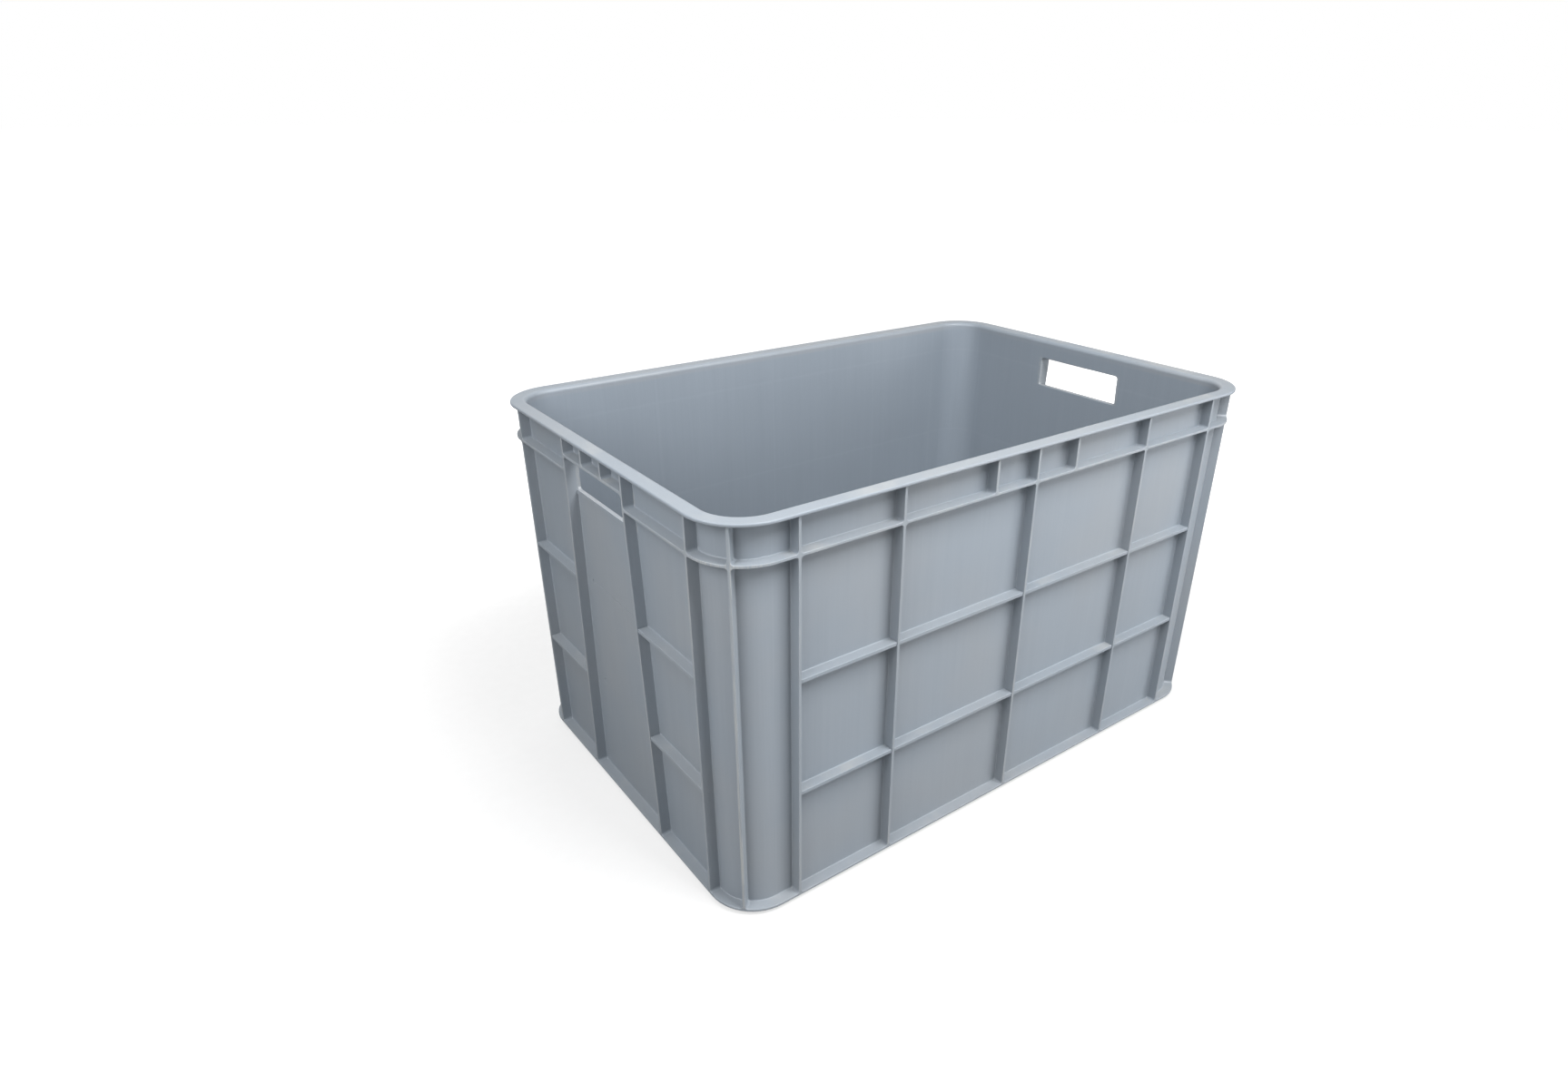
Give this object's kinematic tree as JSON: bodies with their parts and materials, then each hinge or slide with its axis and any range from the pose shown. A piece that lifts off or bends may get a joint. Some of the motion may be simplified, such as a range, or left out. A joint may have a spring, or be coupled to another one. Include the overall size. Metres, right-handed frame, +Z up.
{
  "type": "rigid storage crate",
  "caption": "Rigid open-topped plastic storage crate, moulded in one piece, with ribbed walls, a flat rim and a hand hole in each short end.",
  "frame": {"origin": "centre of the foot's underside, in the plane that the crate stands on", "axes": "+Z up, +X along the long sides, +Y across; the hand holes are in the ends that face +X and -X"},
  "size_m": [0.6, 0.4, 0.345],
  "materials": {
    "polypropylene": "satin moulded polypropylene, cool blue-grey"
  },
  "bodies": {
    "root": {"crate": "polypropylene"}
  },
  "joints": []
}
